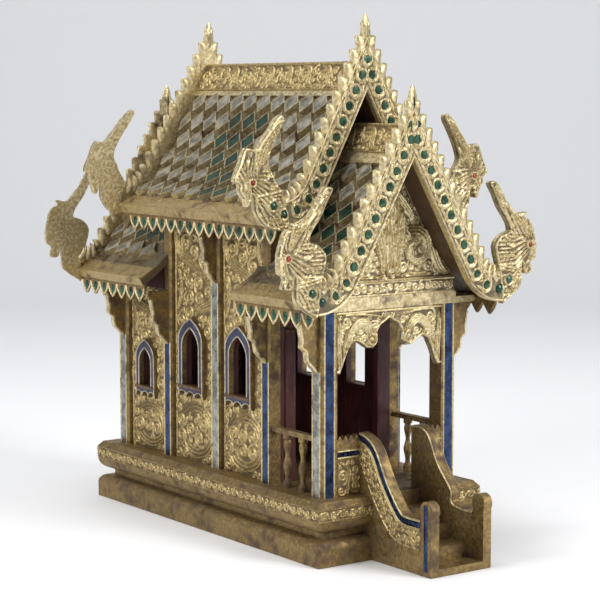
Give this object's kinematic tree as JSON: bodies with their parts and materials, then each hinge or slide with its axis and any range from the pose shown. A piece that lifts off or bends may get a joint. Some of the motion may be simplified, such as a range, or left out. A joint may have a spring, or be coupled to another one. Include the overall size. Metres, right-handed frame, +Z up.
{
  "type": "spirit house",
  "caption": "Gilded wooden spirit house with a porch and stair, tiled two-tier roof, naga-headed gables and arched windows.",
  "frame": {"origin": "middle of the plinth's underside", "axes": "+Z up; -Y towards the porch and the stair; +X to the right of the middle plane as seen from the front"},
  "size_m": [0.344, 0.5753, 0.5762],
  "materials": {
    "plain_gilt": "aged gold leaf over red primer",
    "carved_gilt": "carved relief with aged gold leaf, dark in its recesses",
    "worn_wood": "rubbed gilding over brown wood",
    "red_wood": "dark red paint",
    "mirror_tile": "gilded diamond tiles faced with grey and green mirror",
    "blue_mirror": "blue mirror glass",
    "white_mirror": "aged clear mirror glass",
    "green_mirror": "green mirror glass"
  },
  "bodies": {
    "root": {"bargeboards_lower_front": "carved_gilt", "bargeboards_lower_rear": "carved_gilt", "bargeboards_upper_front": "carved_gilt", "bargeboards_upper_rear": "carved_gilt", "base_cornice": "carved_gilt", "base_neck": "worn_wood", "base_slab": "worn_wood", "eave_brackets_left": "carved_gilt", "eave_brackets_right": "carved_gilt", "eave_fringes": "green_mirror", "eave_plates": "worn_wood", "front_arch": "carved_gilt", "front_beam": "carved_gilt", "front_pediment": "carved_gilt", "front_roof_left": "mirror_tile", "front_roof_right": "mirror_tile", "front_wall_head": "red_wood", "front_wall_left": "red_wood", "front_wall_right": "red_wood", "gable_wall_front": "red_wood", "gable_wall_rear": "red_wood", "naga_heads_lower_front": "carved_gilt", "naga_heads_lower_rear": "carved_gilt", "naga_heads_upper_front": "carved_gilt", "naga_heads_upper_rear": "carved_gilt", "porch_balusters": "worn_wood", "porch_panels": "carved_gilt", "porch_rails": "worn_wood", "posts_left": "plain_gilt", "posts_right": "plain_gilt", "rear_beam": "carved_gilt", "rear_pediment": "carved_gilt", "rear_roof_left": "mirror_tile", "rear_roof_right": "mirror_tile", "rear_wall": "carved_gilt", "ridge_caps": "carved_gilt", "stair_flight": "worn_wood", "stair_parapet_left": "carved_gilt", "stair_parapet_right": "carved_gilt", "upper_roof_left": "mirror_tile", "upper_roof_right": "mirror_tile", "wall_panels_left": "carved_gilt", "wall_panels_right": "carved_gilt", "window_frames_left": "blue_mirror", "window_frames_right": "blue_mirror"}
  },
  "joints": []
}
